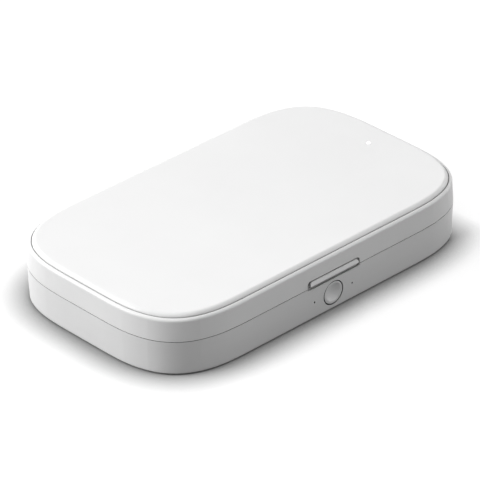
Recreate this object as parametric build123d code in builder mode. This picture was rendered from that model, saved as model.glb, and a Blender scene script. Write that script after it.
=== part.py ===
from build123d import *
from math import atan2, cos, degrees, radians, sin
import os

# UV sanitizer box for phones: a low clamshell with UV-C LEDs in its base and its lid, and
# a wireless charging pad on top. Millimetres, +Z up, the long side along X, the button in
# front at -Y and the hinge behind at +Y. The origin is the middle of the footprint, on
# the table. The lid is drawn closed.

os.makedirs("parts", exist_ok=True)

# ---------------------------------------------------------------- outside of the box
box_length = 198.4          # at the seam, where the box is widest
box_width = 118.6
base_height = 16.6          # from the wall's lower edge to the middle of the seam
lid_height = 11.15          # from the middle of the seam to the rim around the pad
pad_rise = 1.65             # pad above the rim
foot_stand = 1.0            # wall's lower edge above the table
seam_gap = 0.3
base_draft = 0.5            # how far the base's wall leans in at its foot
lid_draft = 0.7             # how far the lid's wall leans in at the rim

# each corner runs flank, shoulder, nose, shoulder, flank
flank_radius = 135.0
flank_turn = 5.0
shoulder_radius = 49.0
shoulder_turn = 16.0
nose_radius = 29.0

# ---------------------------------------------------------------- gaps
fit_gap = 0.15              # around a plate in its seat
hole_gap = 0.05             # around a shank, pin or pipe in its hole
run_gap = 0.3               # between pieces that move past each other
stop_gap = 0.1              # between a moving piece and what stops it

# ---------------------------------------------------------------- shells and decks
shell_wall = 2.2            # where the wall is thinnest
deck_ledge = 1.2            # step in the shells that a deck rests on
cover_thickness = 1.8
cover_edge = 1.2            # wall left around the cover
base_deck_drop = 1.3        # base deck's top under the seam
base_deck_thickness = 1.6
lid_deck_lift = 0.6         # lid deck's underside over the seam
lid_deck_thickness = 1.4
rim_width = 1.5
rim_round = 1.35
pad_sink = 1.0              # pad below the rim
pad_gap = 0.25
pad_round = 2.2
pad_skin = 1.4              # left over the hollow under the pad
pad_edge = 2.5              # left around that hollow
pad_rib_width = 1.2
pad_rib_pitch = 24.0
pad_rib_count = 7
pad_boss_radius = 3.0       # left around the charge light
lid_plate_thickness = 1.3

# ---------------------------------------------------------------- chamber
chamber_end_margin = 15.2   # from the chamber's edge to the box's end
chamber_side_margin = 16.3  # and to its long side
chamber_corner = 24.0
chamber_floor = 9.6         # above the table
chamber_ceiling = 22.5
reflector_wall = 1.0
reflector_flange = 2.2
flange_thickness = 0.8
reflector_lean = 8.0        # degrees off the upright
floor_round = 2.5
ceiling_round = 1.2
rib_length = 58.0
rib_width = 1.8
rib_height = 2.0
rib_spacing = 26.0
rib_count = 4
rib_round = 0.6
seal_offset = 1.0           # seal outside the chamber's edge
seal_width = 2.0
seal_sink = 0.7

# ---------------------------------------------------------------- UV-C lights
light_spacing_x = 116.0
light_spacing_y = 36.0
light_board_width = 12.0
light_board_length = 60.0
led_size = 3.5
led_height = 1.2
window_radius = 4.0
window_thickness = 0.6
window_step = 1.0           # ledge that a window rests on
stake_radius = 0.8
stake_shoulder = 1.8
stake_spacing = 50.0

# ---------------------------------------------------------------- screws
screw_inset = 10.5          # corner screws in from the outline
cover_screw_radius = 1.25
cover_screw_head = 2.3
cover_screw_head_height = 1.6
cover_screw_length = 11.5
post_radius = 3.5
post_length = 3.8
deck_boss_radius = 3.2
web_thickness = 1.6
cup_wall = 1.9              # around a screw head in the cover
cup_roof = 1.6              # under a screw head
foot_radius = 5.5
foot_sink = 0.8
foot_round = 0.4
small_screw_radius = 0.95
small_screw_head = 1.9
small_screw_head_height = 1.1
front_screw_length = 5.0
board_screw_length = 3.6
lid_screw_length = 6.0
lid_post_radius = 3.0
lid_pad_height = 1.2        # pads on the lid's deck that its screws pull up
end_screw_inset = 6.7       # screws at the lid's two ends, in from the outline
drive_width = 0.5           # cross recess in the heads
drive_depth = 0.6

# ---------------------------------------------------------------- button and front board
button_height = 8.9         # button's middle above the table
button_radius = 5.7
button_travel = 0.4
button_recess = 0.05
button_gap = 0.55           # around the cap in its hole
button_flange = 6.9         # reach of the lugs that keep the cap in
button_flange_thickness = 1.0
button_rim = 1.0
button_round = 0.25
dish_depth = 1.2
stem_radius = 2.0
stem_length = 0.85
front_board_length = 48.0
front_board_height = 10.0
board_thickness = 1.2
front_post_spacing = 40.0
front_post_radius = 2.5
switch_size = 6.0
switch_depth = 2.0
plunger_radius = 1.2
plunger_proud = 0.8
plunger_sink = 0.8
status_spacing = 24.0       # between the two status lights
status_tip_radius = 0.45
status_recess = 1.0         # light pipes' tips behind the wall's face
status_pipe_radius = 1.2
status_led_size = 1.6
status_led_height = 0.6
sensor_size = 3.0
sensor_thickness = 0.8
sensor_offset = 9.0

# ---------------------------------------------------------------- magnets
magnet_radius = 3.0
magnet_height = 2.0
magnet_spacing = 100.0
magnet_inset = 7.6          # in from the outline
magnet_skin = 0.5
cup_thickness = 1.0
sensor_magnet_radius = 2.0

# ---------------------------------------------------------------- finger lip
lip_length = 30.4
lip_height = 2.9            # its upper edge over the lid's lower edge
lip_lift = 1.0              # its lower edge over the lid's lower edge
lip_proud = 0.8             # the hinge barrel stands as proud behind
lip_top_proud = 0.4         # less at its upper edge
lip_sink = 0.9
lip_corner = 1.4
lip_edge = 0.25             # upright part of the lip's face
lip_side_gap = 1.4
lip_top_gap = 0.45
notch_height = 0.9          # fingertip notch in the base under the lip
notch_depth = 1.0
notch_corner = 0.6

# ---------------------------------------------------------------- hinge
knuckle_radius = 1.5
pin_radius = 0.6
hinge_spacing = 80.0
lid_knuckle_length = 12.0
ear_length = 6.0
channel_half_height = 3.2
channel_clear = 0.2         # channel's floor inside the hinge line
sleeve_length = 7.0
sleeve_bore = 1.0
lead_radius = 0.75
lead_bend = 2.5
lead_corner = 10.5

# ---------------------------------------------------------------- main board and socket
main_board_length = 68.0
main_board_width = 42.0
standoff_height = 1.5
standoff_radius = 2.5
standoff_inset = 3.5
board_rear_gap = 0.5
socket_width = 8.94
socket_height = 3.26
socket_depth = 7.35
socket_corner = 1.55
socket_wall = 0.3
socket_floor = 1.1
socket_inset = 0.7          # its mouth behind the wall's face
socket_bezel = 1.6
bezel_depth = 0.5
tongue_width = 6.7
tongue_thickness = 0.7
tongue_length = 4.5
chip_size = 7.0
chip_height = 1.0
chip_offset = 17.0          # chip and choke each side of the board's middle
choke_size = 8.0
choke_height = 2.4
choke_corner = 1.6
plug_length = 6.0
plug_width = 4.0
plug_height = 2.0
lead_run_in = 7.5           # lead's fall behind the chamber, in from the hinge line

# ---------------------------------------------------------------- charging pad
coil_radius = 25.0
coil_bore = 10.0
coil_thickness = 1.0
coil_turns = 8
coil_groove = 0.35
coil_groove_depth = 0.5
ferrite_size = 53.0
ferrite_thickness = 0.8
charger_board_width = 20.0
charger_board_length = 50.0
charger_board_x = 39.0
charger_post_spacing = 40.0
charger_drop = 1.2
charge_light_inset = 17.0   # from the box's end
charge_light_radius = 0.8
charge_light_collar = 1.6
collar_thickness = 0.6
charge_board_width = 6.0
charge_board_length = 11.0
charge_board_thickness = 0.8
charge_stake_spacing = 7.6

# ---------------------------------------------------------------- heights worked out
seam_z = foot_stand + base_height
base_top = seam_z - seam_gap / 2
lid_foot = seam_z + seam_gap / 2
rim_z = seam_z + lid_height
pad_top = rim_z + pad_rise
pad_seat = rim_z - pad_sink
lid_plate_under = pad_seat - lid_plate_thickness
base_deck_top = seam_z - base_deck_drop
base_deck_seat = base_deck_top - base_deck_thickness
tray_rim = base_deck_top + flange_thickness
lid_deck_under = seam_z + lid_deck_lift
lid_deck_seat = lid_deck_under + lid_deck_thickness
cover_top = foot_stand + cover_thickness
main_board_under = cover_top + standoff_height
main_board_top = main_board_under + board_thickness
tray_under = chamber_floor - reflector_wall
reflector_top = chamber_ceiling + reflector_wall

# ---------------------------------------------------------------- depths worked out
cavity_inset = base_draft + shell_wall
base_pocket_inset = cavity_inset - deck_ledge
lid_cavity_inset = lid_draft + shell_wall
lid_pocket_inset = lid_cavity_inset - deck_ledge
cover_inset = base_draft + cover_edge
flange_reach = reflector_wall + reflector_flange
pad_recess_inset = lid_draft + rim_width
pad_inset = pad_recess_inset + pad_gap
inner_depth = box_width / 2 - cavity_inset
hinge_y = box_width / 2 + lip_proud - knuckle_radius
hinge_z = seam_z
base_lean = base_draft / (base_top - foot_stand)
chamber_length = box_length - 2 * chamber_end_margin
chamber_width = box_width - 2 * chamber_side_margin
charge_light_x = box_length / 2 - charge_light_inset

# ---------------------------------------------------------------- corners worked out
flank_step = flank_radius - shoulder_radius
shoulder_step = shoulder_radius - nose_radius
nose_start = radians(flank_turn + shoulder_turn)
nose_turn = 90 - 2 * (flank_turn + shoulder_turn)
nose_inset = flank_radius - flank_step * cos(radians(flank_turn)) - shoulder_step * cos(nose_start)
corner_extent = nose_inset + flank_step * sin(radians(flank_turn)) + shoulder_step * sin(nose_start)


def outline(level, inset=0.0):
    """The box's outline at a height, moved inwards by inset."""
    arcs = [
        (flank_radius, flank_turn),
        (shoulder_radius, shoulder_turn),
        (nose_radius, nose_turn),
        (shoulder_radius, shoulder_turn),
        (flank_radius, flank_turn),
    ]
    long_side = box_length - 2 * corner_extent
    short_side = box_width - 2 * corner_extent
    with BuildSketch(Plane.XY.offset(level)) as sketch:
        with BuildLine():
            start = Vector(-long_side / 2, inset - box_width / 2)
            heading = Vector(1, 0)
            for side_length in (long_side, short_side, long_side, short_side):
                bend = Line(start, start + heading * side_length)
                for radius, turn in arcs:
                    bend = JernArc(bend @ 1, bend % 1, radius - inset, turn)
                start = bend @ 1
                heading = bend % 1
        make_face()
    return sketch.sketch


def leaning_block(low_z, low_inset, high_z, high_inset):
    """The solid between the outline at two heights, with walls that lean."""
    with BuildPart() as block:
        loft(sections=[outline(low_z, low_inset), outline(high_z, high_inset)], ruled=True)
    return block.part


def chamber_shape(level, grow=0.0):
    """The chamber's rounded rectangle at a height, grown outwards."""
    with BuildSketch(Plane.XY.offset(level)) as sketch:
        RectangleRounded(chamber_length + 2 * grow, chamber_width + 2 * grow, chamber_corner + grow)
    return sketch.sketch


def chamber_ring(level, inner, outer):
    """The band around the chamber between two distances from its edge."""
    return chamber_shape(level, outer) - chamber_shape(level, inner)


def round_bars(level, places, radius, height):
    """Upright round bars of one size, from a height up."""
    with BuildPart() as bars:
        with BuildSketch(Plane.XY.offset(level)):
            with Locations(*places):
                Circle(radius)
        extrude(amount=height)
    return bars.part


def barrel(start_x, end_x, radius):
    """A round bar on the hinge line between two places along X."""
    with BuildPart() as bar:
        with BuildSketch(Plane.YZ.offset(start_x)):
            with Locations((hinge_y, hinge_z)):
                Circle(radius)
        extrude(amount=end_x - start_x)
    return bar.part


def lead(points, radius):
    """A round cable along straight runs joined by arcs."""
    with BuildPart() as cable:
        with BuildLine() as route:
            FilletPolyline(*points, radius=lead_bend)
        with BuildSketch(Plane(origin=route.line @ 0, z_dir=route.line % 0)):
            Circle(radius)
        sweep(path=route.line)
    return cable.part


def pan_screws(plane, places, shank_radius, head_radius, head_height, length, way=1):
    """Screws with cross recesses, their heads seated on a plane; way -1 points them back."""
    with BuildPart() as screws:
        with BuildSketch(plane):
            with Locations(*places):
                Circle(head_radius)
        extrude(amount=-way * head_height)
        with BuildSketch(plane):
            with Locations(*places):
                Circle(shank_radius)
        extrude(amount=way * length)
        with BuildSketch(plane.offset(-way * head_height)):
            with Locations(*places):
                Rectangle(head_radius, drive_width)
                Rectangle(drive_width, head_radius)
        extrude(amount=way * drive_depth, mode=Mode.SUBTRACT)
    return screws.part


# ---------------------------------------------------------------- shared places
diagonal = cos(radians(45))
screw_x = box_length / 2 - nose_inset + (nose_radius - screw_inset) * diagonal
screw_y = box_width / 2 - nose_inset + (nose_radius - screw_inset) * diagonal
corner_places = []
for x_side in (-1, 1):
    for y_side in (-1, 1):
        outward = degrees(atan2(y_side, x_side))
        corner_places.append(Location((x_side * screw_x, y_side * screw_y, 0), (0, 0, outward)))
end_x = box_length / 2 - end_screw_inset
lid_screw_places = corner_places + [Location((-end_x, 0, 0)), Location((end_x, 0, 0))]
light_places = list(GridLocations(light_spacing_x, light_spacing_y, 2, 2))
light_board_places = list(GridLocations(light_spacing_x, 0, 2, 1))
stake_places = list(GridLocations(light_spacing_x, stake_spacing, 2, 2))
magnet_y = magnet_inset - box_width / 2
magnet_places = [Location((-magnet_spacing / 2, magnet_y, 0)), Location((magnet_spacing / 2, magnet_y, 0))]

# ---------------------------------------------------------------- hinge places
lid_spans = []
ear_spans = []
pin_spans = []
for x_side in (-1, 1):
    middle = x_side * hinge_spacing / 2
    half_knuckle = lid_knuckle_length / 2
    ear_start = half_knuckle + run_gap
    ear_end = ear_start + ear_length
    lid_spans.append((middle - half_knuckle, middle + half_knuckle))
    ear_spans.append((middle - ear_end, middle - ear_start))
    ear_spans.append((middle + ear_start, middle + ear_end))
    pin_spans.append((middle - ear_end, middle + ear_end))
base_sleeve_span = (-sleeve_length, -run_gap / 2)
lid_sleeve_span = (run_gap / 2, sleeve_length)
hinge_reach = hinge_spacing / 2 + lid_knuckle_length / 2 + 2 * run_gap + ear_length
channel_floor = hinge_y - channel_clear
lead_reach = lead_corner + lead_radius + run_gap

# ---------------------------------------------------------------- lead routes
lead_drop_y = hinge_y - lead_run_in
plug_top = main_board_top + plug_height
charger_board_top = lid_plate_under - charger_drop
charger_board_middle = charger_board_top - board_thickness / 2
lid_lead_rise = charger_board_middle - hinge_z
charger_board_rear = charger_board_length / 2
base_lead_points = [
    (-run_gap / 2, hinge_y, hinge_z),
    (-lead_corner, hinge_y, hinge_z),
    (-lead_corner, lead_drop_y, hinge_z - lead_run_in),
    (-lead_corner, lead_drop_y, plug_top),
]
lid_lead_points = [
    (run_gap / 2, hinge_y, hinge_z),
    (lead_corner, hinge_y, hinge_z),
    (lead_corner, hinge_y - lid_lead_rise, charger_board_middle),
    (charger_board_x, charger_board_rear + lead_corner, charger_board_middle),
    (charger_board_x, charger_board_rear, charger_board_middle),
]


def hinge_channel(low_z, high_z):
    """The shallow groove along the back wall that the hinge lies in."""
    with BuildPart() as groove:
        with BuildSketch(Plane.XZ.offset(-channel_floor)):
            with Locations((0, (low_z + high_z) / 2)):
                Rectangle(box_length, high_z - low_z)
        extrude(amount=-(box_width / 2 + lip_proud - channel_floor))
    return groove.part


def light_boards(low_z):
    """Two LED boards side by side, with holes for the stakes that hold them."""
    with BuildPart() as boards:
        with BuildSketch(Plane.XY.offset(low_z)):
            with Locations(*light_board_places):
                Rectangle(light_board_width, light_board_length)
            with Locations(*stake_places):
                Circle(stake_radius + hole_gap, mode=Mode.SUBTRACT)
        extrude(amount=board_thickness)
    return boards.part


def light_packages(low_z):
    """The four UV-C LEDs of the base or the lid."""
    with BuildPart() as packages:
        with BuildSketch(Plane.XY.offset(low_z)):
            with Locations(*light_places):
                Rectangle(led_size, led_size)
        extrude(amount=led_height)
    return packages.part


def window_holes(face_z, way):
    """Stepped holes for the four windows, cut into a reflector from its bright face."""
    with BuildPart() as holes:
        with BuildSketch(Plane.XY.offset(face_z)):
            with Locations(*light_places):
                Circle(window_radius + hole_gap)
        extrude(amount=way * window_thickness)
        with BuildSketch(Plane.XY.offset(face_z)):
            with Locations(*light_places):
                Circle(window_radius - window_step)
        extrude(amount=way * reflector_wall)
    return holes.part


def reflector(rim_level, face_z, back_z, round_radius):
    """A shallow pan between its open rim and its flat bright face, with even walls."""
    with BuildPart() as pan:
        extrude(chamber_shape(rim_level, reflector_wall), amount=back_z - rim_level, taper=reflector_lean)
        fillet(faces().filter_by_position(Axis.Z, back_z, back_z).edges(), round_radius + reflector_wall)
        extrude(
            chamber_shape(rim_level), amount=face_z - rim_level, taper=reflector_lean, mode=Mode.SUBTRACT
        )
        fillet(edges().filter_by_position(Axis.Z, face_z, face_z), round_radius)
    return pan.part


# ---------------------------------------------------------------- base, worked out
head_seat = foot_stand + foot_sink + cover_screw_head_height
cup_top = head_seat + cup_roof
post_top = cup_top + post_length
cover_screw_hole = cover_screw_radius + fit_gap
cover_head_hole = cover_screw_head + fit_gap
web_reach = screw_inset - cavity_inset + shell_wall / 2
front_hole_depth = front_screw_length - board_thickness + stop_gap
board_hole_depth = board_screw_length - board_thickness + stop_gap
deck_screw_hole = cover_screw_radius + hole_gap
deck_hole_depth = head_seat + cover_screw_length + stop_gap - post_top
base_magnet_under = base_deck_top - magnet_skin - magnet_height
magnet_hole = magnet_radius + hole_gap
magnet_cup_radius = magnet_hole + cup_thickness
wall_at_button = box_width / 2 - base_lean * (base_top - button_height)
front_board_gap = stop_gap + button_flange_thickness + stem_length + plunger_proud + switch_depth
front_board_face = inner_depth - front_board_gap
front_board_back = front_board_face - board_thickness
switch_face = front_board_face + switch_depth
plunger_tip = switch_face + plunger_proud
button_place = Location((0, button_height, 0))
front_post_places = [Location((side * front_post_spacing / 2, button_height, 0)) for side in (-1, 1)]
status_places = [Location((side * status_spacing / 2, button_height, 0)) for side in (-1, 1)]
board_rear = inner_depth - board_rear_gap
board_middle_y = board_rear - main_board_width / 2
socket_z = main_board_top + socket_height / 2
socket_place = Location((0, socket_z, 0))
wall_at_socket = box_width / 2 - base_lean * (base_top - socket_z)
socket_mouth = wall_at_socket - socket_inset
socket_back = socket_mouth - socket_depth
socket_opening = (socket_width + 2 * run_gap, socket_height + 2 * run_gap, socket_corner + run_gap)
bezel_width = socket_width + 2 * socket_bezel
bezel_height = socket_height + 2 * socket_bezel
bezel_opening = (bezel_width, bezel_height, socket_corner + socket_bezel)
tray_board_under = tray_under - led_height - board_thickness
standoff_places = []
for x_side in (-1, 1):
    for y_side in (-1, 1):
        place_x = x_side * (main_board_length / 2 - standoff_inset)
        place_y = board_middle_y + y_side * (main_board_width / 2 - standoff_inset)
        standoff_places.append(Location((place_x, place_y, 0)))

# ================================================================ base
with BuildPart() as base_shell:
    add(leaning_block(foot_stand, base_draft, base_top, 0))
    extrude(outline(foot_stand, cavity_inset), amount=base_height, mode=Mode.SUBTRACT)
    extrude(outline(base_deck_seat, base_pocket_inset), amount=base_height, mode=Mode.SUBTRACT)
    extrude(outline(foot_stand, cover_inset), amount=cover_thickness, mode=Mode.SUBTRACT)
    # four posts on webs, for the corner screws
    with BuildSketch(Plane.XY.offset(cup_top)):
        with Locations(*corner_places):
            Circle(post_radius)
            Rectangle(web_reach, web_thickness, align=(Align.MIN, Align.CENTER))
    extrude(amount=post_length)
    add(round_bars(cup_top, corner_places, cover_screw_hole, post_length), mode=Mode.SUBTRACT)
    # two posts for the front board
    with BuildSketch(Plane.XZ.offset(inner_depth)):
        with Locations(*front_post_places):
            Circle(front_post_radius)
    extrude(amount=-front_board_gap)
    with BuildSketch(Plane.XZ.offset(front_board_face)):
        with Locations(*front_post_places):
            Circle(small_screw_radius + hole_gap)
    extrude(amount=front_hole_depth, mode=Mode.SUBTRACT)
    # holes in the front wall for the button and the status lights
    with BuildSketch(Plane.XZ.offset(inner_depth)):
        with Locations(button_place):
            Circle(button_radius + button_gap)
        with Locations(*status_places):
            Circle(status_tip_radius + hole_gap)
    extrude(amount=cavity_inset + run_gap, mode=Mode.SUBTRACT)
    # fingertip notch under the lid's lip
    with BuildSketch(Plane.XZ.offset(box_width / 2 - notch_depth)):
        with Locations((0, base_top)):
            RectangleRounded(lip_length + 2 * lip_side_gap, 2 * notch_height, notch_corner)
    extrude(amount=notch_depth, mode=Mode.SUBTRACT)
    # the socket's hole in the back wall, and the shallow bezel around it
    with BuildSketch(Plane.XZ.offset(-inner_depth)):
        with Locations(socket_place):
            RectangleRounded(*socket_opening)
    extrude(amount=-(cavity_inset + run_gap), mode=Mode.SUBTRACT)
    with BuildSketch(Plane.XZ.offset(bezel_depth - wall_at_socket)):
        with Locations(socket_place):
            RectangleRounded(*bezel_opening)
    extrude(amount=-(cavity_inset + run_gap), mode=Mode.SUBTRACT)
    # hinge: channel, room for the lid's knuckles and lead, ears, pin holes and the lead's sleeve
    add(hinge_channel(hinge_z - channel_half_height, hinge_z + channel_half_height), mode=Mode.SUBTRACT)
    for start, end in lid_spans:
        add(barrel(start - run_gap, end + run_gap, knuckle_radius + run_gap), mode=Mode.SUBTRACT)
    add(barrel(-run_gap / 2, lead_reach, knuckle_radius + run_gap), mode=Mode.SUBTRACT)
    for start, end in ear_spans + [base_sleeve_span]:
        add(barrel(start, end, knuckle_radius))
    for start, end in ear_spans:
        add(barrel(start, end, pin_radius + hole_gap / 2), mode=Mode.SUBTRACT)
    add(barrel(-lead_corner, -run_gap / 2, sleeve_bore), mode=Mode.SUBTRACT)
    add(lead(base_lead_points, lead_radius + run_gap), mode=Mode.SUBTRACT)
base_shell.part.label = "base_shell"

with BuildPart() as bottom_cover:
    extrude(outline(foot_stand, cover_inset + fit_gap), amount=cover_thickness)
    add(round_bars(cover_top, corner_places, cover_screw_head + cup_wall, cup_top - cover_top))
    add(round_bars(cover_top, standoff_places, standoff_radius, standoff_height))
    add(round_bars(foot_stand, corner_places, foot_radius + hole_gap, foot_sink), mode=Mode.SUBTRACT)
    add(round_bars(foot_stand, corner_places, cover_head_hole, head_seat - foot_stand), mode=Mode.SUBTRACT)
    add(round_bars(foot_stand, corner_places, cover_screw_hole, cup_top - foot_stand), mode=Mode.SUBTRACT)
    with BuildSketch(Plane.XY.offset(main_board_under)):
        with Locations(*standoff_places):
            Circle(small_screw_radius + hole_gap)
    extrude(amount=-board_hole_depth, mode=Mode.SUBTRACT)
bottom_cover.part.label = "bottom_cover"

with BuildPart() as rubber_feet:
    add(round_bars(0, corner_places, foot_radius, foot_stand + foot_sink))
    fillet(edges().group_by(Axis.Z)[0], foot_round)
rubber_feet.part.label = "rubber_feet"

with BuildPart() as cover_screws:
    add(
        pan_screws(
            Plane.XY.offset(head_seat),
            corner_places,
            cover_screw_radius,
            cover_screw_head,
            cover_screw_head_height - stop_gap,
            cover_screw_length,
        )
    )
cover_screws.part.label = "cover_screws"

with BuildPart() as base_deck:
    extrude(outline(base_deck_seat, base_pocket_inset + fit_gap), amount=base_deck_thickness)
    add(round_bars(post_top, corner_places, deck_boss_radius, base_deck_seat - post_top))
    add(round_bars(base_magnet_under, magnet_places, magnet_cup_radius, base_deck_seat - base_magnet_under))
    extrude(
        chamber_shape(base_deck_seat, reflector_wall + fit_gap),
        amount=base_deck_thickness,
        mode=Mode.SUBTRACT,
    )
    add(round_bars(post_top, corner_places, deck_screw_hole, deck_hole_depth), mode=Mode.SUBTRACT)
    add(round_bars(base_magnet_under, magnet_places, magnet_hole, magnet_height), mode=Mode.SUBTRACT)
    add(barrel(-hinge_reach, hinge_reach, knuckle_radius + run_gap), mode=Mode.SUBTRACT)
    add(lead(base_lead_points, lead_radius + run_gap), mode=Mode.SUBTRACT)
base_deck.part.label = "base_deck"

with BuildPart() as base_magnets:
    add(round_bars(base_magnet_under, magnet_places, magnet_radius, magnet_height))
base_magnets.part.label = "base_magnets"

with BuildPart() as chamber_tray:
    add(reflector(tray_rim, chamber_floor, tray_under, floor_round))
    extrude(chamber_ring(base_deck_top, reflector_wall / 2, flange_reach), amount=flange_thickness)
    add(window_holes(chamber_floor, -1), mode=Mode.SUBTRACT)
    add(round_bars(tray_board_under + board_thickness, stake_places, stake_shoulder, led_height))
    add(round_bars(tray_board_under, stake_places, stake_radius, board_thickness))
chamber_tray.part.label = "chamber_tray"

with BuildPart() as tray_windows:
    add(round_bars(chamber_floor - window_thickness, light_places, window_radius, window_thickness))
tray_windows.part.label = "tray_windows"

with BuildPart() as tray_light_boards:
    add(light_boards(tray_board_under))
tray_light_boards.part.label = "tray_light_boards"

with BuildPart() as tray_uv_leds:
    add(light_packages(tray_under - led_height))
tray_uv_leds.part.label = "tray_uv_leds"

with BuildPart() as rest_ribs:
    with BuildSketch(Plane.XY.offset(chamber_floor)):
        with GridLocations(rib_spacing, 0, rib_count, 1):
            SlotOverall(rib_length, rib_width, rotation=90)
    extrude(amount=rib_height)
    fillet(edges().group_by(Axis.Z)[-1], rib_round)
rest_ribs.part.label = "rest_ribs"

with BuildPart() as main_board:
    with BuildSketch(Plane.XY.offset(main_board_under)):
        with Locations((0, board_middle_y)):
            Rectangle(main_board_length, main_board_width)
        with Locations(*standoff_places):
            Circle(small_screw_radius + hole_gap, mode=Mode.SUBTRACT)
    extrude(amount=board_thickness)
main_board.part.label = "main_board"

with BuildPart() as board_screws:
    add(
        pan_screws(
            Plane.XY.offset(main_board_top),
            standoff_places,
            small_screw_radius,
            small_screw_head,
            small_screw_head_height,
            board_screw_length,
            way=-1,
        )
    )
board_screws.part.label = "board_screws"

with BuildPart() as usb_socket:
    cavity_width = socket_width - 2 * socket_wall
    cavity_height = socket_height - 2 * socket_wall
    with BuildSketch(Plane.XZ.offset(-socket_back)):
        with Locations(socket_place):
            RectangleRounded(socket_width, socket_height, socket_corner)
    extrude(amount=-socket_depth)
    with BuildSketch(Plane.XZ.offset(-(socket_back + socket_floor))):
        with Locations(socket_place):
            RectangleRounded(cavity_width, cavity_height, socket_corner - socket_wall)
    extrude(amount=-(socket_depth - socket_floor), mode=Mode.SUBTRACT)
usb_socket.part.label = "usb_socket"

with BuildPart() as usb_tongue:
    with BuildSketch(Plane.XZ.offset(-(socket_back + socket_floor))):
        with Locations(socket_place):
            Rectangle(tongue_width, tongue_thickness)
    extrude(amount=-tongue_length)
usb_tongue.part.label = "usb_tongue"

with BuildPart() as controller_chip:
    with BuildSketch(Plane.XY.offset(main_board_top)):
        with Locations((-chip_offset, board_middle_y)):
            Rectangle(chip_size, chip_size)
    extrude(amount=chip_height)
controller_chip.part.label = "controller_chip"

with BuildPart() as power_choke:
    with BuildSketch(Plane.XY.offset(main_board_top)):
        with Locations((chip_offset, board_middle_y)):
            RectangleRounded(choke_size, choke_size, choke_corner)
    extrude(amount=choke_height)
power_choke.part.label = "power_choke"

with BuildPart() as lead_plug:
    with BuildSketch(Plane.XY.offset(main_board_top)):
        with Locations((-lead_corner, lead_drop_y)):
            Rectangle(plug_length, plug_width)
    extrude(amount=plug_height)
lead_plug.part.label = "lead_plug"

with BuildPart() as base_lead:
    add(lead(base_lead_points, lead_radius))
base_lead.part.label = "base_lead"

with BuildPart() as hinge_pins:
    for start, end in pin_spans:
        add(barrel(start + fit_gap, end - fit_gap, pin_radius))
hinge_pins.part.label = "hinge_pins"

# ---------------------------------------------------------------- front board
with BuildPart() as front_board:
    with BuildSketch(Plane.XZ.offset(front_board_back)):
        with Locations(button_place):
            Rectangle(front_board_length, front_board_height)
        with Locations(*front_post_places):
            Circle(small_screw_radius + hole_gap, mode=Mode.SUBTRACT)
    extrude(amount=board_thickness)
front_board.part.label = "front_board"

with BuildPart() as front_board_screws:
    add(
        pan_screws(
            Plane.XZ.offset(front_board_back),
            front_post_places,
            small_screw_radius,
            small_screw_head,
            small_screw_head_height,
            front_screw_length,
        )
    )
front_board_screws.part.label = "front_board_screws"

with BuildPart() as tact_switch:
    with BuildSketch(Plane.XZ.offset(front_board_face)):
        with Locations(button_place):
            Rectangle(switch_size, switch_size)
    extrude(amount=switch_depth)
    with BuildSketch(Plane.XZ.offset(switch_face)):
        with Locations(button_place):
            Circle(plunger_radius + hole_gap)
    extrude(amount=-(plunger_sink + button_travel + stop_gap), mode=Mode.SUBTRACT)
tact_switch.part.label = "tact_switch"

with BuildPart() as status_leds:
    with BuildSketch(Plane.XZ.offset(front_board_face)):
        with Locations(*status_places):
            Rectangle(status_led_size, status_led_size)
    extrude(amount=status_led_height)
status_leds.part.label = "status_leds"

with BuildPart() as status_pipes:
    pipe_back = front_board_face + status_led_height + stop_gap
    with BuildSketch(Plane.XZ.offset(pipe_back)):
        with Locations(*status_places):
            Circle(status_pipe_radius)
    extrude(amount=inner_depth - pipe_back)
    with BuildSketch(Plane.XZ.offset(inner_depth)):
        with Locations(*status_places):
            Circle(status_tip_radius)
    extrude(amount=wall_at_button - status_recess - inner_depth)
status_pipes.part.label = "status_pipes"

with BuildPart() as lid_sensor:
    with BuildSketch(Plane.XZ.offset(front_board_back)):
        with Locations((sensor_offset, button_height + front_board_height / 2 - sensor_size)):
            Rectangle(sensor_size, sensor_size)
    extrude(amount=-sensor_thickness)
lid_sensor.part.label = "lid_sensor"

# ================================================================ button
flange_face = inner_depth - stop_gap
flange_back = flange_face - button_flange_thickness
button_face = wall_at_button - button_recess
lug_height = 2 * (min(button_height - cover_top, base_deck_seat - button_height) - run_gap)
dish_radius = button_radius - button_rim
dish_ball = (dish_radius**2 + dish_depth**2) / (2 * dish_depth)

with BuildPart() as button_cap:
    with BuildSketch(Plane.XZ.offset(flange_face)):
        with Locations(button_place):
            Circle(button_radius)
    extrude(amount=cavity_inset + run_gap)
    add(leaning_block(foot_stand, base_draft + button_recess, base_top, button_recess), mode=Mode.INTERSECT)
    fillet(faces().sort_by(Axis.Y)[0].edges(), button_round)
    with Locations((0, dish_depth - button_face - dish_ball, button_height)):
        Sphere(dish_ball, mode=Mode.SUBTRACT)
    # two lugs behind the wall keep the cap in
    with BuildSketch(Plane.XZ.offset(flange_face)):
        with Locations(button_place):
            Circle(button_flange)
            Rectangle(2 * button_flange, lug_height, mode=Mode.INTERSECT)
    extrude(amount=-button_flange_thickness)
    with BuildSketch(Plane.XZ.offset(flange_back)):
        with Locations(button_place):
            Circle(stem_radius)
    extrude(amount=-stem_length)
button_cap.part.label = "button_cap"

with BuildPart() as switch_plunger:
    with BuildSketch(Plane.XZ.offset(plunger_tip)):
        with Locations(button_place):
            Circle(plunger_radius)
    extrude(amount=-(plunger_proud + plunger_sink))
switch_plunger.part.label = "switch_plunger"

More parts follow.
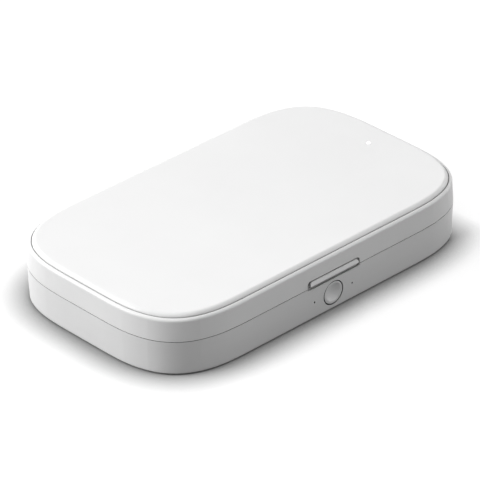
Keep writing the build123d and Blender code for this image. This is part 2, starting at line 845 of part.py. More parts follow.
# ---------------------------------------------------------------- lid, worked out
lid_lean = lid_draft / (rim_z - lid_foot)
lid_head_seat = lid_deck_under + small_screw_head_height + stop_gap
lid_pad_top = lid_deck_seat + lid_pad_height
lid_magnet_under = lid_deck_under + magnet_skin
lid_cup_height = lid_magnet_under + magnet_height - lid_deck_seat
sensor_cup_radius = sensor_magnet_radius + hole_gap + cup_thickness
lid_head_hole = small_screw_head + fit_gap
lid_shank_hole = small_screw_radius + fit_gap
lid_hole_depth = lid_head_seat + lid_screw_length + stop_gap - lid_pad_top
sensor_magnet_place = Location((sensor_offset, magnet_y, 0))
lip_wall = box_width / 2 - lip_sink
coil_under = lid_plate_under - coil_thickness
charger_board_under = charger_board_top - board_thickness
charger_places = [Location((charger_board_x, side * charger_post_spacing / 2, 0)) for side in (-1, 1)]
charge_light_hole = charge_light_radius + hole_gap
charge_light_place = Location((charge_light_x, 0, 0))
charge_places = [Location((charge_light_x, side * charge_stake_spacing / 2, 0)) for side in (-1, 1)]
collar_under = lid_plate_under - collar_thickness
charge_board_top = collar_under - stop_gap - status_led_height
charge_board_under = charge_board_top - charge_board_thickness
lid_board_under = reflector_top + led_height


def pad_ribs(level):
    """The ribs and the boss that the hollow under the pad leaves."""
    with BuildSketch(Plane.XY.offset(level)) as ribs:
        with GridLocations(pad_rib_pitch, 0, pad_rib_count, 1):
            Rectangle(pad_rib_width, box_width)
        Rectangle(box_length, pad_rib_width)
        with Locations(charge_light_place):
            Circle(pad_boss_radius)
    return ribs.sketch


# ================================================================ lid
with BuildPart() as lid_shell:
    add(leaning_block(lid_foot, 0, rim_z, lid_draft))
    fillet(edges().group_by(Axis.Z)[-1], rim_round)
    extrude(outline(pad_seat, pad_recess_inset), amount=pad_sink, mode=Mode.SUBTRACT)
    extrude(outline(lid_foot, lid_cavity_inset), amount=lid_plate_under - lid_foot, mode=Mode.SUBTRACT)
    extrude(outline(lid_foot, lid_pocket_inset), amount=lid_deck_seat - lid_foot, mode=Mode.SUBTRACT)
    # posts for the deck's screws
    add(round_bars(lid_pad_top, lid_screw_places, lid_post_radius, lid_plate_under - lid_pad_top))
    add(
        round_bars(lid_pad_top, lid_screw_places, small_screw_radius + hole_gap, lid_hole_depth),
        mode=Mode.SUBTRACT,
    )
    # stakes that hold the charger board and the charge light's board under the plate
    add(round_bars(charger_board_top, charger_places, stake_shoulder, charger_drop))
    add(round_bars(charger_board_under, charger_places, stake_radius, board_thickness))
    add(round_bars(charge_board_top, charge_places, stake_shoulder, lid_plate_under - charge_board_top))
    add(round_bars(charge_board_under, charge_places, stake_radius, charge_board_thickness))
    add(
        round_bars(lid_plate_under, [charge_light_place], charge_light_hole, lid_plate_thickness),
        mode=Mode.SUBTRACT,
    )
    # recess for the finger lip
    with BuildSketch(Plane.XZ.offset(lip_wall)):
        with Locations((0, lid_foot)):
            RectangleRounded(
                lip_length + 2 * lip_side_gap, 2 * (lip_height + lip_top_gap), lip_corner + lip_top_gap
            )
    extrude(amount=lip_sink + lip_proud, mode=Mode.SUBTRACT)
    # hinge: channel, room for the base's ears and lead, knuckles, pin holes and the lead's sleeve
    add(hinge_channel(hinge_z - channel_half_height, hinge_z + channel_half_height), mode=Mode.SUBTRACT)
    for start, end in ear_spans:
        add(barrel(start - run_gap, end + run_gap, knuckle_radius + run_gap), mode=Mode.SUBTRACT)
    add(barrel(-lead_reach, run_gap / 2, knuckle_radius + run_gap), mode=Mode.SUBTRACT)
    for start, end in lid_spans + [lid_sleeve_span]:
        add(barrel(start, end, knuckle_radius))
    for start, end in lid_spans:
        add(barrel(start, end, pin_radius + hole_gap), mode=Mode.SUBTRACT)
    add(barrel(run_gap / 2, lead_corner, sleeve_bore), mode=Mode.SUBTRACT)
    add(lead(lid_lead_points, lead_radius + run_gap), mode=Mode.SUBTRACT)
lid_shell.part.label = "lid_shell"

with BuildPart() as top_pad:
    extrude(outline(pad_seat, pad_inset), amount=pad_sink + pad_rise)
    fillet(edges().group_by(Axis.Z)[-1], pad_round)
    extrude(
        outline(pad_seat, pad_inset + pad_edge) - pad_ribs(pad_seat),
        amount=pad_sink + pad_rise - pad_skin,
        mode=Mode.SUBTRACT,
    )
    add(
        round_bars(pad_seat, [charge_light_place], charge_light_hole, pad_sink + pad_rise),
        mode=Mode.SUBTRACT,
    )
top_pad.part.label = "top_pad"

with BuildPart() as finger_lip:
    with BuildSketch(Plane.XZ.offset(lip_wall)):
        with Locations((0, lid_foot)):
            RectangleRounded(lip_length, 2 * lip_height, lip_corner)
    extrude(amount=lip_sink + lip_proud)
    lip_foot = lid_foot + lip_lift
    lip_top = lid_foot + lip_height
    lip_front = -(box_width / 2 + lip_proud)
    with BuildSketch(Plane.YZ.offset(-lip_length / 2)):
        with BuildLine():
            Polyline(
                (-lip_wall, lip_foot),
                (lip_front, lip_foot),
                (lip_front, lip_foot + lip_edge),
                (lid_lean * lip_height - box_width / 2 - lip_top_proud, lip_top),
                (-lip_wall, lip_top),
                close=True,
            )
        make_face()
    extrude(amount=lip_length, mode=Mode.INTERSECT)
finger_lip.part.label = "finger_lip"

with BuildPart() as lid_deck:
    extrude(outline(lid_deck_under, lid_pocket_inset + fit_gap), amount=lid_deck_thickness)
    add(round_bars(lid_deck_seat, lid_screw_places, lid_post_radius, lid_pad_height))
    add(round_bars(lid_deck_seat, magnet_places, magnet_cup_radius, lid_cup_height))
    add(round_bars(lid_deck_seat, [sensor_magnet_place], sensor_cup_radius, lid_cup_height))
    extrude(chamber_shape(lid_deck_under), amount=lid_deck_thickness, mode=Mode.SUBTRACT)
    extrude(
        chamber_ring(lid_deck_under, seal_offset, seal_offset + seal_width),
        amount=seal_sink,
        mode=Mode.SUBTRACT,
    )
    add(
        round_bars(lid_deck_under, lid_screw_places, lid_head_hole, lid_head_seat - lid_deck_under),
        mode=Mode.SUBTRACT,
    )
    add(
        round_bars(lid_deck_under, lid_screw_places, lid_shank_hole, lid_pad_top - lid_deck_under),
        mode=Mode.SUBTRACT,
    )
    add(round_bars(lid_magnet_under, magnet_places, magnet_hole, magnet_height), mode=Mode.SUBTRACT)
    add(
        round_bars(lid_magnet_under, [sensor_magnet_place], sensor_magnet_radius + hole_gap, magnet_height),
        mode=Mode.SUBTRACT,
    )
    add(barrel(-hinge_reach, hinge_reach, knuckle_radius + run_gap), mode=Mode.SUBTRACT)
    add(lead(lid_lead_points, lead_radius + run_gap), mode=Mode.SUBTRACT)
lid_deck.part.label = "lid_deck"

with BuildPart() as lid_screws:
    add(
        pan_screws(
            Plane.XY.offset(lid_head_seat),
            lid_screw_places,
            small_screw_radius,
            small_screw_head,
            small_screw_head_height,
            lid_screw_length,
        )
    )
lid_screws.part.label = "lid_screws"

with BuildPart() as lid_magnets:
    add(round_bars(lid_magnet_under, magnet_places, magnet_radius, magnet_height))
lid_magnets.part.label = "lid_magnets"

with BuildPart() as sensor_magnet:
    add(round_bars(lid_magnet_under, [sensor_magnet_place], sensor_magnet_radius, magnet_height))
sensor_magnet.part.label = "sensor_magnet"

with BuildPart() as light_seal:
    seal_foot = tray_rim + stop_gap
    extrude(
        chamber_ring(seal_foot, seal_offset + hole_gap, seal_offset + seal_width - hole_gap),
        amount=lid_deck_under + seal_sink - seal_foot,
    )
light_seal.part.label = "light_seal"

with BuildPart() as lid_reflector:
    add(reflector(lid_deck_seat, chamber_ceiling, reflector_top, ceiling_round))
    extrude(chamber_ring(lid_deck_seat, reflector_wall / 2, flange_reach), amount=flange_thickness)
    add(window_holes(chamber_ceiling, 1), mode=Mode.SUBTRACT)
    add(round_bars(reflector_top, stake_places, stake_shoulder, led_height))
    add(round_bars(lid_board_under, stake_places, stake_radius, board_thickness))
lid_reflector.part.label = "lid_reflector"

with BuildPart() as lid_windows:
    add(round_bars(chamber_ceiling, light_places, window_radius, window_thickness))
lid_windows.part.label = "lid_windows"

with BuildPart() as lid_light_boards:
    add(light_boards(lid_board_under))
lid_light_boards.part.label = "lid_light_boards"

with BuildPart() as lid_uv_leds:
    add(light_packages(reflector_top))
lid_uv_leds.part.label = "lid_uv_leds"

# ---------------------------------------------------------------- charging pad
with BuildPart() as charging_coil:
    with BuildSketch(Plane.XY.offset(coil_under)):
        Circle(coil_radius)
        Circle(coil_bore, mode=Mode.SUBTRACT)
    extrude(amount=coil_thickness)
    turn_pitch = (coil_radius - coil_bore) / coil_turns
    with BuildSketch(Plane.XY.offset(coil_under)):
        for turn in range(1, coil_turns):
            groove_radius = coil_bore + turn * turn_pitch
            Circle(groove_radius + coil_groove / 2)
            Circle(groove_radius - coil_groove / 2, mode=Mode.SUBTRACT)
    extrude(amount=coil_groove_depth, mode=Mode.SUBTRACT)
charging_coil.part.label = "charging_coil"

with BuildPart() as ferrite_sheet:
    with BuildSketch(Plane.XY.offset(coil_under)):
        Rectangle(ferrite_size, ferrite_size)
    extrude(amount=-ferrite_thickness)
ferrite_sheet.part.label = "ferrite_sheet"

with BuildPart() as charger_board:
    with BuildSketch(Plane.XY.offset(charger_board_under)):
        with Locations((charger_board_x, 0)):
            Rectangle(charger_board_width, charger_board_length)
        with Locations(*charger_places):
            Circle(stake_radius + hole_gap, mode=Mode.SUBTRACT)
    extrude(amount=board_thickness)
charger_board.part.label = "charger_board"

with BuildPart() as charger_chip:
    with BuildSketch(Plane.XY.offset(charger_board_top)):
        with Locations((charger_board_x, 0)):
            Rectangle(chip_size, chip_size)
    extrude(amount=chip_height)
charger_chip.part.label = "charger_chip"

with BuildPart() as charge_light:
    add(round_bars(collar_under, [charge_light_place], charge_light_collar, collar_thickness))
    add(round_bars(lid_plate_under, [charge_light_place], charge_light_radius, pad_top - lid_plate_under))
charge_light.part.label = "charge_light"

with BuildPart() as charge_led:
    with BuildSketch(Plane.XY.offset(charge_board_top)):
        with Locations(charge_light_place):
            Rectangle(status_led_size, status_led_size)
    extrude(amount=status_led_height)
charge_led.part.label = "charge_led"

with BuildPart() as charge_light_board:
    with BuildSketch(Plane.XY.offset(charge_board_under)):
        with Locations(charge_light_place):
            Rectangle(charge_board_width, charge_board_length)
        with Locations(*charge_places):
            Circle(stake_radius + hole_gap, mode=Mode.SUBTRACT)
    extrude(amount=charge_board_thickness)
charge_light_board.part.label = "charge_light_board"

with BuildPart() as lid_lead:
    add(lead(lid_lead_points, lead_radius))
lid_lead.part.label = "lid_lead"

# ================================================================ files
base_pieces = [
    base_shell, bottom_cover, rubber_feet, cover_screws, base_deck, base_magnets, chamber_tray,
    tray_windows, tray_light_boards, tray_uv_leds, rest_ribs, main_board, board_screws, usb_socket,
    usb_tongue, controller_chip, power_choke, lead_plug, base_lead, hinge_pins, front_board,
    front_board_screws, tact_switch, status_leds, status_pipes, lid_sensor,
]
button_pieces = [button_cap, switch_plunger]
lid_pieces = [
    lid_shell, top_pad, finger_lip, lid_deck, lid_screws, lid_magnets, sensor_magnet, light_seal,
    lid_reflector, lid_windows, lid_light_boards, lid_uv_leds, charging_coil, ferrite_sheet,
    charger_board, charger_chip, charge_light, charge_led, charge_light_board, lid_lead,
]
for piece in base_pieces + button_pieces + lid_pieces:
    export_step(piece.part, f"parts/{piece.part.label}.step")
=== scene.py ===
import math
import bpy
from mathutils import Matrix, Vector

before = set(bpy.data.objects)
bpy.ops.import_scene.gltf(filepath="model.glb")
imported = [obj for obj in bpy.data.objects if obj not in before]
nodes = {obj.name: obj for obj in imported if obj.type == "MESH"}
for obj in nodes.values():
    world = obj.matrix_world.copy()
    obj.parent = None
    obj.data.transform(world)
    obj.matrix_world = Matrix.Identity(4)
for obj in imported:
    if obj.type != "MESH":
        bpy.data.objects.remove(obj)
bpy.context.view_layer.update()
scene = bpy.context.scene


# ---------------------------------------------------------------- camera
camera_place = Vector((-0.99055, -1.04706, 0.87606))
camera_azimuth = -43.353
camera_elevation = 30.956
camera_roll = -0.72
camera_field = 7.554


def make_camera():
    """The camera at the photograph's place and angle."""
    data = bpy.data.cameras.new("camera")
    data.sensor_width = 36
    data.angle = math.radians(camera_field)
    data.clip_start = 0.1
    data.clip_end = 20
    camera = bpy.data.objects.new("camera", data)
    scene.collection.objects.link(camera)
    turn = Matrix.Rotation(math.radians(camera_azimuth), 4, "Z")
    tilt = Matrix.Rotation(math.radians(90 - camera_elevation), 4, "X")
    roll = Matrix.Rotation(math.radians(camera_roll), 4, "Z")
    camera.matrix_world = Matrix.Translation(camera_place) @ turn @ tilt @ roll
    scene.camera = camera


# ---------------------------------------------------------------- light
def area_light(name, place, target, size, power):
    """A square soft light at a place, aimed at a target."""
    data = bpy.data.lights.new(name, "AREA")
    data.shape = "SQUARE"
    data.size = size
    data.energy = power
    light = bpy.data.objects.new(name, data)
    scene.collection.objects.link(light)
    aim = Vector(target) - Vector(place)
    light.rotation_mode = "QUATERNION"
    light.rotation_quaternion = aim.to_track_quat("-Z", "Y")
    light.location = place
    return light


def make_lights():
    """Soft light from the left and behind, as in the photograph, with weaker ones elsewhere."""
    area_light("left", (-1.45, 1.0, 1.0), (0, 0, 0), 1.0, 34.5)
    area_light("back", (0, 1.8, 0.8), (0, 0, 0), 1.0, 19)
    area_light("right", (1.8, -0.1, 0.6), (0, 0, 0), 1.0, 6)
    area_light("right_front", (1.0, -1.2, 0.9), (0, 0, 0), 0.8, 8.6)
    area_light("top", (-0.25, -0.2, 0.8), (0, 0, 0), 0.5, 2.8)


def shown_rays(tree):
    """1 for what the camera, mirrors and glass show, 0 for light that falls on the object."""
    path = tree.nodes.new("ShaderNodeLightPath")
    shown = path.outputs["Is Camera Ray"]
    for ray in ("Is Glossy Ray", "Is Transmission Ray"):
        shown = combine(tree, "MAXIMUM", shown, path.outputs[ray])
    return shown


def make_world():
    """White behind the object and in its reflections, with no light of its own on the object."""
    world = bpy.data.worlds.new("studio")
    scene.world = world
    world.use_nodes = True
    tree = world.node_tree
    tree.nodes.clear()
    seen = shown_rays(tree)
    ambient = tree.nodes.new("ShaderNodeBackground")
    ambient.inputs["Color"].default_value = (1, 1, 1, 1)
    ambient.inputs["Strength"].default_value = 0.0
    white = tree.nodes.new("ShaderNodeBackground")
    white.inputs["Color"].default_value = (1, 1, 1, 1)
    white.inputs["Strength"].default_value = 1.0
    mix = tree.nodes.new("ShaderNodeMixShader")
    tree.links.new(seen, mix.inputs[0])
    tree.links.new(ambient.outputs[0], mix.inputs[1])
    tree.links.new(white.outputs[0], mix.inputs[2])
    out = tree.nodes.new("ShaderNodeOutputWorld")
    tree.links.new(mix.outputs[0], out.inputs["Surface"])


def make_floor():
    """A wide pale table with a painted shadow: it darkens softly near the object, except past its right end.
    """
    half = 3.0
    shadow_reach = 0.02
    shadow_fade_start = 0.055
    shadow_fade_end = 0.105
    closed_in = 0.53
    wide_open = 0.97
    darkest = 0.03
    brightest = 0.82
    mesh = bpy.data.meshes.new("floor")
    mesh.from_pydata(
        [(-half, -half, 0), (half, -half, 0), (half, half, 0), (-half, half, 0)], [], [(0, 1, 2, 3)]
    )
    floor = bpy.data.objects.new("floor", mesh)
    scene.collection.objects.link(floor)
    material = bpy.data.materials.new("floor")
    material.use_nodes = True
    tree = material.node_tree
    tree.nodes.clear()
    seen = shown_rays(tree)
    # Painted shadow: the glow dims where ambient occlusion finds the object close, and not past its right
    # end.
    near = tree.nodes.new("ShaderNodeAmbientOcclusion")
    near.samples = 16
    near.inputs["Distance"].default_value = shadow_reach
    place = tree.nodes.new("ShaderNodeTexCoord")
    axes = tree.nodes.new("ShaderNodeSeparateXYZ")
    tree.links.new(place.outputs["Object"], axes.inputs[0])
    beyond = spread(tree, axes.outputs["X"], 0, 1, shadow_fade_start, shadow_fade_end)
    open_air = combine(tree, "MAXIMUM", near.outputs["AO"], beyond)
    pale = tree.nodes.new("ShaderNodeBsdfDiffuse")
    pale.inputs["Color"].default_value = (0.27, 0.27, 0.27, 1)
    glow = tree.nodes.new("ShaderNodeEmission")
    strength = spread(tree, open_air, darkest, brightest, closed_in, wide_open)
    tree.links.new(strength, glow.inputs["Strength"])
    lit = tree.nodes.new("ShaderNodeAddShader")
    tree.links.new(pale.outputs[0], lit.inputs[0])
    tree.links.new(glow.outputs[0], lit.inputs[1])
    bounce = tree.nodes.new("ShaderNodeBsdfDiffuse")
    bounce.inputs["Color"].default_value = (0.27, 0.27, 0.27, 1)
    mix = tree.nodes.new("ShaderNodeMixShader")
    tree.links.new(seen, mix.inputs[0])
    tree.links.new(bounce.outputs[0], mix.inputs[1])
    tree.links.new(lit.outputs[0], mix.inputs[2])
    out = tree.nodes.new("ShaderNodeOutputMaterial")
    tree.links.new(mix.outputs[0], out.inputs["Surface"])
    mesh.materials.append(material)


# ---------------------------------------------------------------- material helpers
def start_material(name):
    """A new node material, with its tree and its Principled shader."""
    material = bpy.data.materials.new(name)
    material.use_nodes = True
    tree = material.node_tree
    return material, tree, tree.nodes["Principled BSDF"]


def noise(tree, scale, detail=3.0, stretch=(1, 1, 1)):
    """Noise in the piece's own coordinates, with so many features per metre."""
    place = tree.nodes.new("ShaderNodeTexCoord")
    mapping = tree.nodes.new("ShaderNodeMapping")
    mapping.inputs["Scale"].default_value = stretch
    tree.links.new(place.outputs["Object"], mapping.inputs["Vector"])
    texture = tree.nodes.new("ShaderNodeTexNoise")
    texture.inputs["Scale"].default_value = scale
    texture.inputs["Detail"].default_value = detail
    tree.links.new(mapping.outputs["Vector"], texture.inputs["Vector"])
    return texture.outputs["Fac"]


def spread(tree, value, low, high, start=0.3, end=0.7):
    """A value carried from the range start to end over to the range low to high."""
    node = tree.nodes.new("ShaderNodeMapRange")
    node.inputs["From Min"].default_value = start
    node.inputs["From Max"].default_value = end
    node.inputs["To Min"].default_value = low
    node.inputs["To Max"].default_value = high
    tree.links.new(value, node.inputs["Value"])
    return node.outputs["Result"]


def combine(tree, operation, first, second):
    """Two values put together by one sum."""
    node = tree.nodes.new("ShaderNodeMath")
    node.operation = operation
    tree.links.new(first, node.inputs[0])
    tree.links.new(second, node.inputs[1])
    return node.outputs[0]


def tint(tree, factor, first, second):
    """A colour between two; either may be a plain colour or a node's output."""
    mix = tree.nodes.new("ShaderNodeMix")
    mix.data_type = "RGBA"
    tree.links.new(factor, mix.inputs[0])
    for colour, socket in ((first, mix.inputs[6]), (second, mix.inputs[7])):
        if isinstance(colour, tuple):
            socket.default_value = (*colour, 1)
        else:
            tree.links.new(colour, socket)
    return mix.outputs[2]


def relief(tree, shader, layers):
    """Bump from several heights, each with its depth in metres."""
    normal = None
    for height, depth in layers:
        node = tree.nodes.new("ShaderNodeBump")
        node.inputs["Distance"].default_value = depth
        tree.links.new(height, node.inputs["Height"])
        if normal is not None:
            tree.links.new(normal, node.inputs["Normal"])
        normal = node.outputs["Normal"]
    tree.links.new(normal, shader.inputs["Normal"])


def edge_mask(tree, radius):
    """1 along the piece's edges and 0 on its flats."""
    bevel = tree.nodes.new("ShaderNodeBevel")
    bevel.samples = 4
    bevel.inputs["Radius"].default_value = radius
    geometry = tree.nodes.new("ShaderNodeNewGeometry")
    agreement = tree.nodes.new("ShaderNodeVectorMath")
    agreement.operation = "DOT_PRODUCT"
    tree.links.new(bevel.outputs["Normal"], agreement.inputs[0])
    tree.links.new(geometry.outputs["Normal"], agreement.inputs[1])
    return spread(tree, agreement.outputs["Value"], 1, 0, 0.88, 0.99)


def gap_shade_mask(tree, reach):
    """1 deep in gaps and corners, where shade falls, and 0 in the open; it marks where shade is painted."""
    shade = tree.nodes.new("ShaderNodeAmbientOcclusion")
    shade.samples = 8
    shade.inputs["Distance"].default_value = reach
    return spread(tree, shade.outputs["AO"], 1, 0, 0.2, 0.9)


def shade_of(colour, factor):
    """A colour made lighter or darker."""
    return tuple(channel * factor for channel in colour)


# ---------------------------------------------------------------- material kinds
def plastic(name, colour, roughness, grain, grain_scale, gap_shade_reach=None):
    """Moulded plastic: faint flow marks, a fine grain, scuffs and, outside, worn edges and painted shade in
    its gaps.
    """
    material, tree, shader = start_material(name)
    flow = spread(tree, noise(tree, 22, 4, (1, 1, 2.5)), 0, 1)
    base = tint(tree, flow, shade_of(colour, 0.985), shade_of(colour, 1.012))
    specks = spread(tree, noise(tree, 2600, 1), 0, 0.25, 0.74, 0.8)
    base = tint(tree, specks, base, shade_of(colour, 0.82))
    scuffs = spread(tree, noise(tree, 140, 6, (1, 6, 1)), 0, 0.07, 0.55, 0.75)
    gloss = spread(tree, noise(tree, 45, 3), roughness - 0.04, roughness + 0.05)
    gloss = combine(tree, "ADD", gloss, scuffs)
    if gap_shade_reach:
        # Painted shade: deep in gaps and corners the base colour is darkened towards 12 per cent of itself.
        painted_gap_shade = spread(tree, gap_shade_mask(tree, gap_shade_reach), 0, 0.95, 0, 1)
        base = tint(tree, painted_gap_shade, base, shade_of(colour, 0.12))
        rubbed = spread(tree, edge_mask(tree, 0.0005), 0, 0.09, 0, 1)
        gloss = combine(tree, "SUBTRACT", gloss, rubbed)
    tree.links.new(base, shader.inputs["Base Color"])
    tree.links.new(gloss, shader.inputs["Roughness"])
    shader.inputs["IOR"].default_value = 1.5
    shader.inputs["Specular IOR Level"].default_value = 0.3
    relief(tree, shader, [(noise(tree, 60, 2), 0.00001), (noise(tree, grain_scale, 2), grain)])
    return material


def metal(name, colour, roughness, stretch, streak, wave):
    """Bare metal: streaks along one way, faint waves and stains."""
    material, tree, shader = start_material(name)
    streaks = noise(tree, 900, 3, stretch)
    stains = spread(tree, noise(tree, 70, 4), 0, 1)
    base = tint(tree, stains, shade_of(colour, 0.93), colour)
    base = tint(tree, spread(tree, streaks, 0, 0.5), base, shade_of(colour, 1.06))
    tree.links.new(base, shader.inputs["Base Color"])
    tree.links.new(spread(tree, streaks, roughness * 0.75, roughness * 1.3), shader.inputs["Roughness"])
    shader.inputs["Metallic"].default_value = 1
    relief(tree, shader, [(noise(tree, 55, 2), wave), (streaks, streak)])
    return material


def clear(name, colour, roughness, ior, ripple, lit=0.0):
    """Clear pieces: quartz, light pipes and the frosted rests. A lit one glows by itself."""
    material, tree, shader = start_material(name)
    haze = noise(tree, 350, 4)
    base = tint(tree, spread(tree, haze, 0, 1), colour, shade_of(colour, 0.94))
    tree.links.new(base, shader.inputs["Base Color"])
    tree.links.new(spread(tree, haze, roughness * 0.7, roughness * 1.4), shader.inputs["Roughness"])
    shader.inputs["Transmission Weight"].default_value = 1
    shader.inputs["IOR"].default_value = ior
    shader.inputs["Emission Color"].default_value = (1, 1, 1, 1)
    shader.inputs["Emission Strength"].default_value = lit
    relief(tree, shader, [(noise(tree, 500, 2), ripple)])
    return material


def soft_rubber(name, colour, roughness):
    """Rubber and cable jackets: mottled, with a fine tooth and pale dust."""
    material, tree, shader = start_material(name)
    mottle = spread(tree, noise(tree, 160, 5), 0, 1)
    base = tint(tree, mottle, shade_of(colour, 0.85), shade_of(colour, 1.15))
    dust = spread(tree, noise(tree, 1500, 3), 0, 0.3, 0.62, 0.75)
    base = tint(tree, dust, base, (0.5, 0.49, 0.47))
    tree.links.new(base, shader.inputs["Base Color"])
    sheen = spread(tree, noise(tree, 300, 3), roughness - 0.08, roughness + 0.08)
    tree.links.new(sheen, shader.inputs["Roughness"])
    relief(tree, shader, [(noise(tree, 2200, 3), 0.00004)])
    return material


def circuit_board(name, mask, trace):
    """Solder mask over copper traces, which show as slightly raised lines, and tinned dots."""
    material, tree, shader = start_material(name)
    place = tree.nodes.new("ShaderNodeTexCoord")
    cells = tree.nodes.new("ShaderNodeTexVoronoi")
    cells.feature = "DISTANCE_TO_EDGE"
    cells.inputs["Scale"].default_value = 260
    cells.inputs["Randomness"].default_value = 0.55
    tree.links.new(place.outputs["Object"], cells.inputs["Vector"])
    lines = spread(tree, cells.outputs["Distance"], 1, 0, 0.03, 0.06)
    dots = tree.nodes.new("ShaderNodeTexVoronoi")
    dots.inputs["Scale"].default_value = 240
    dots.inputs["Randomness"].default_value = 0.35
    tree.links.new(place.outputs["Object"], dots.inputs["Vector"])
    tinned = spread(tree, dots.outputs["Distance"], 1, 0, 0.1, 0.13)
    base = tint(tree, spread(tree, noise(tree, 90, 3), 0, 1), mask, shade_of(mask, 1.2))
    base = tint(tree, lines, base, trace)
    base = tint(tree, tinned, base, (0.62, 0.61, 0.58))
    tree.links.new(base, shader.inputs["Base Color"])
    tree.links.new(tinned, shader.inputs["Metallic"])
    tree.links.new(spread(tree, noise(tree, 200, 3), 0.25, 0.42), shader.inputs["Roughness"])
    shader.inputs["Coat Weight"].default_value = 0.3
    relief(tree, shader, [(lines, 0.00004), (tinned, 0.00006), (noise(tree, 1500, 2), 0.000006)])
    return material


def wound_copper(name, bright, dark):
    """Enamelled copper wire in rings around the coil's middle."""
    material, tree, shader = start_material(name)
    place = tree.nodes.new("ShaderNodeTexCoord")
    rings = tree.nodes.new("ShaderNodeTexWave")
    rings.wave_type = "RINGS"
    rings.rings_direction = "Z"
    rings.inputs["Scale"].default_value = 680
    rings.inputs["Distortion"].default_value = 0.6
    tree.links.new(place.outputs["Object"], rings.inputs["Vector"])
    base = tint(tree, rings.outputs["Fac"], dark, bright)
    base = tint(tree, spread(tree, noise(tree, 250, 4), 0, 0.3), base, shade_of(bright, 1.1))
    tree.links.new(base, shader.inputs["Base Color"])
    tree.links.new(spread(tree, noise(tree, 400, 3), 0.22, 0.36), shader.inputs["Roughness"])
    shader.inputs["Metallic"].default_value = 1
    shader.inputs["Coat Weight"].default_value = 0.5
    relief(tree, shader, [(rings.outputs["Fac"], 0.00012)])
    return material


def light_package(name, body, window):
    """An LED: a pale ceramic body with a warm, glassy lens."""
    material, tree, shader = start_material(name)
    geometry = tree.nodes.new("ShaderNodeNewGeometry")
    axes = tree.nodes.new("ShaderNodeSeparateXYZ")
    tree.links.new(geometry.outputs["Normal"], axes.inputs[0])
    flat = tree.nodes.new("ShaderNodeMath")
    flat.operation = "ABSOLUTE"
    tree.links.new(axes.outputs["Z"], flat.inputs[0])
    facing = spread(tree, flat.outputs[0], 0, 1, 0.5, 0.9)
    sides = tint(tree, spread(tree, noise(tree, 1200, 3), 0, 1), body, shade_of(body, 0.9))
    tree.links.new(tint(tree, facing, sides, window), shader.inputs["Base Color"])
    tree.links.new(spread(tree, noise(tree, 900, 2), 0.12, 0.3), shader.inputs["Roughness"])
    shader.inputs["Coat Weight"].default_value = 0.8
    shader.inputs["Coat Roughness"].default_value = 0.05
    relief(tree, shader, [(noise(tree, 1600, 2), 0.00001)])
    return material


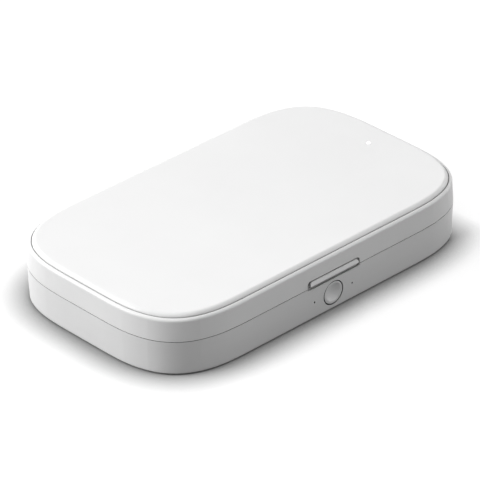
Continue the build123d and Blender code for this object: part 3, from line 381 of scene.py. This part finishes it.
# ---------------------------------------------------------------- materials of the pieces
def make_materials():
    """Every material of the object, by the name of its slot in the record."""
    return {
        # Housing and pad get painted shade in their gaps and corners, reaching 2.5 and 4.5 mm.
        "housing": plastic("housing", (0.82, 0.82, 0.82), 0.38, 0.000006, 2400, gap_shade_reach=0.0025),
        "pad": plastic("pad", (0.83, 0.83, 0.83), 0.34, 0.000004, 2600, gap_shade_reach=0.0045),
        "deck": plastic("deck", (0.80, 0.80, 0.80), 0.5, 0.000012, 1800),
        "cover": plastic("cover", (0.76, 0.76, 0.76), 0.55, 0.00002, 1500),
        "reflector": metal("reflector", (0.86, 0.87, 0.88), 0.12, (1, 1, 1), 0.000002, 0.00004),
        "quartz": clear("quartz", (0.97, 0.98, 1.0), 0.02, 1.46, 0.000002),
        "clear_rest": clear("clear_rest", (0.93, 0.95, 0.96), 0.28, 1.49, 0.00001),
        "rubber": soft_rubber("rubber", (0.28, 0.28, 0.29), 0.75),
        "seal": soft_rubber("seal", (0.6, 0.61, 0.62), 0.6),
        "cable": soft_rubber("cable", (0.09, 0.09, 0.095), 0.5),
        "steel": metal("steel", (0.62, 0.62, 0.63), 0.3, (0.2, 3, 1), 0.000008, 0.00001),
        "magnet": metal("magnet", (0.72, 0.72, 0.73), 0.15, (1, 1, 1), 0.000003, 0.00001),
        "light_board": metal("light_board", (0.8, 0.81, 0.82), 0.35, (3, 0.2, 1), 0.000008, 0.00001),
        "board": circuit_board("board", (0.03, 0.16, 0.09), (0.06, 0.27, 0.15)),
        "copper": wound_copper("copper", (0.8, 0.42, 0.22), (0.55, 0.25, 0.12)),
        "led": light_package("led", (0.86, 0.86, 0.84), (0.85, 0.76, 0.42)),
        "chip": plastic("chip", (0.05, 0.05, 0.055), 0.55, 0.00002, 1800),
        "switch_body": plastic("switch_body", (0.06, 0.06, 0.065), 0.45, 0.00001, 2000),
        "ferrite": plastic("ferrite", (0.12, 0.12, 0.125), 0.7, 0.00003, 1200),
        "light_pipe": clear("light_pipe", (0.9, 0.92, 0.93), 0.06, 1.49, 0.000003, lit=1.2),
        "smoked_pipe": clear("smoked_pipe", (0.03, 0.03, 0.033), 0.3, 1.25, 0.000003),
    }


slot_nodes = {
    "housing": ["base_shell", "button_cap", "lid_shell", "finger_lip"],
    "pad": ["top_pad"],
    "deck": ["base_deck", "lid_deck"],
    "cover": ["bottom_cover"],
    "reflector": ["chamber_tray", "lid_reflector"],
    "quartz": ["tray_windows", "lid_windows"],
    "clear_rest": ["rest_ribs"],
    "rubber": ["rubber_feet"],
    "seal": ["light_seal"],
    "cable": ["base_lead", "lid_lead"],
    "steel": ["cover_screws", "board_screws", "usb_socket", "hinge_pins", "front_board_screws", "lid_screws"],
    "magnet": ["base_magnets", "lid_magnets", "sensor_magnet"],
    "light_board": ["tray_light_boards", "lid_light_boards"],
    "board": ["main_board", "front_board", "charger_board", "charge_light_board"],
    "copper": ["charging_coil"],
    "led": ["tray_uv_leds", "lid_uv_leds", "status_leds", "charge_led"],
    "chip": ["controller_chip", "power_choke", "lead_plug", "lid_sensor", "charger_chip"],
    "switch_body": ["usb_tongue", "tact_switch", "switch_plunger"],
    "ferrite": ["ferrite_sheet"],
    "light_pipe": ["charge_light"],
    "smoked_pipe": ["status_pipes"],
}


def dress_nodes():
    """Puts its own material on every CAD node."""
    materials = make_materials()
    for slot, names in slot_nodes.items():
        for name in names:
            slots = nodes[name].data.materials
            slots.clear()
            slots.append(materials[slot])


scene.view_settings.view_transform = "Standard"
make_camera()
make_lights()
make_world()
make_floor()
dress_nodes()
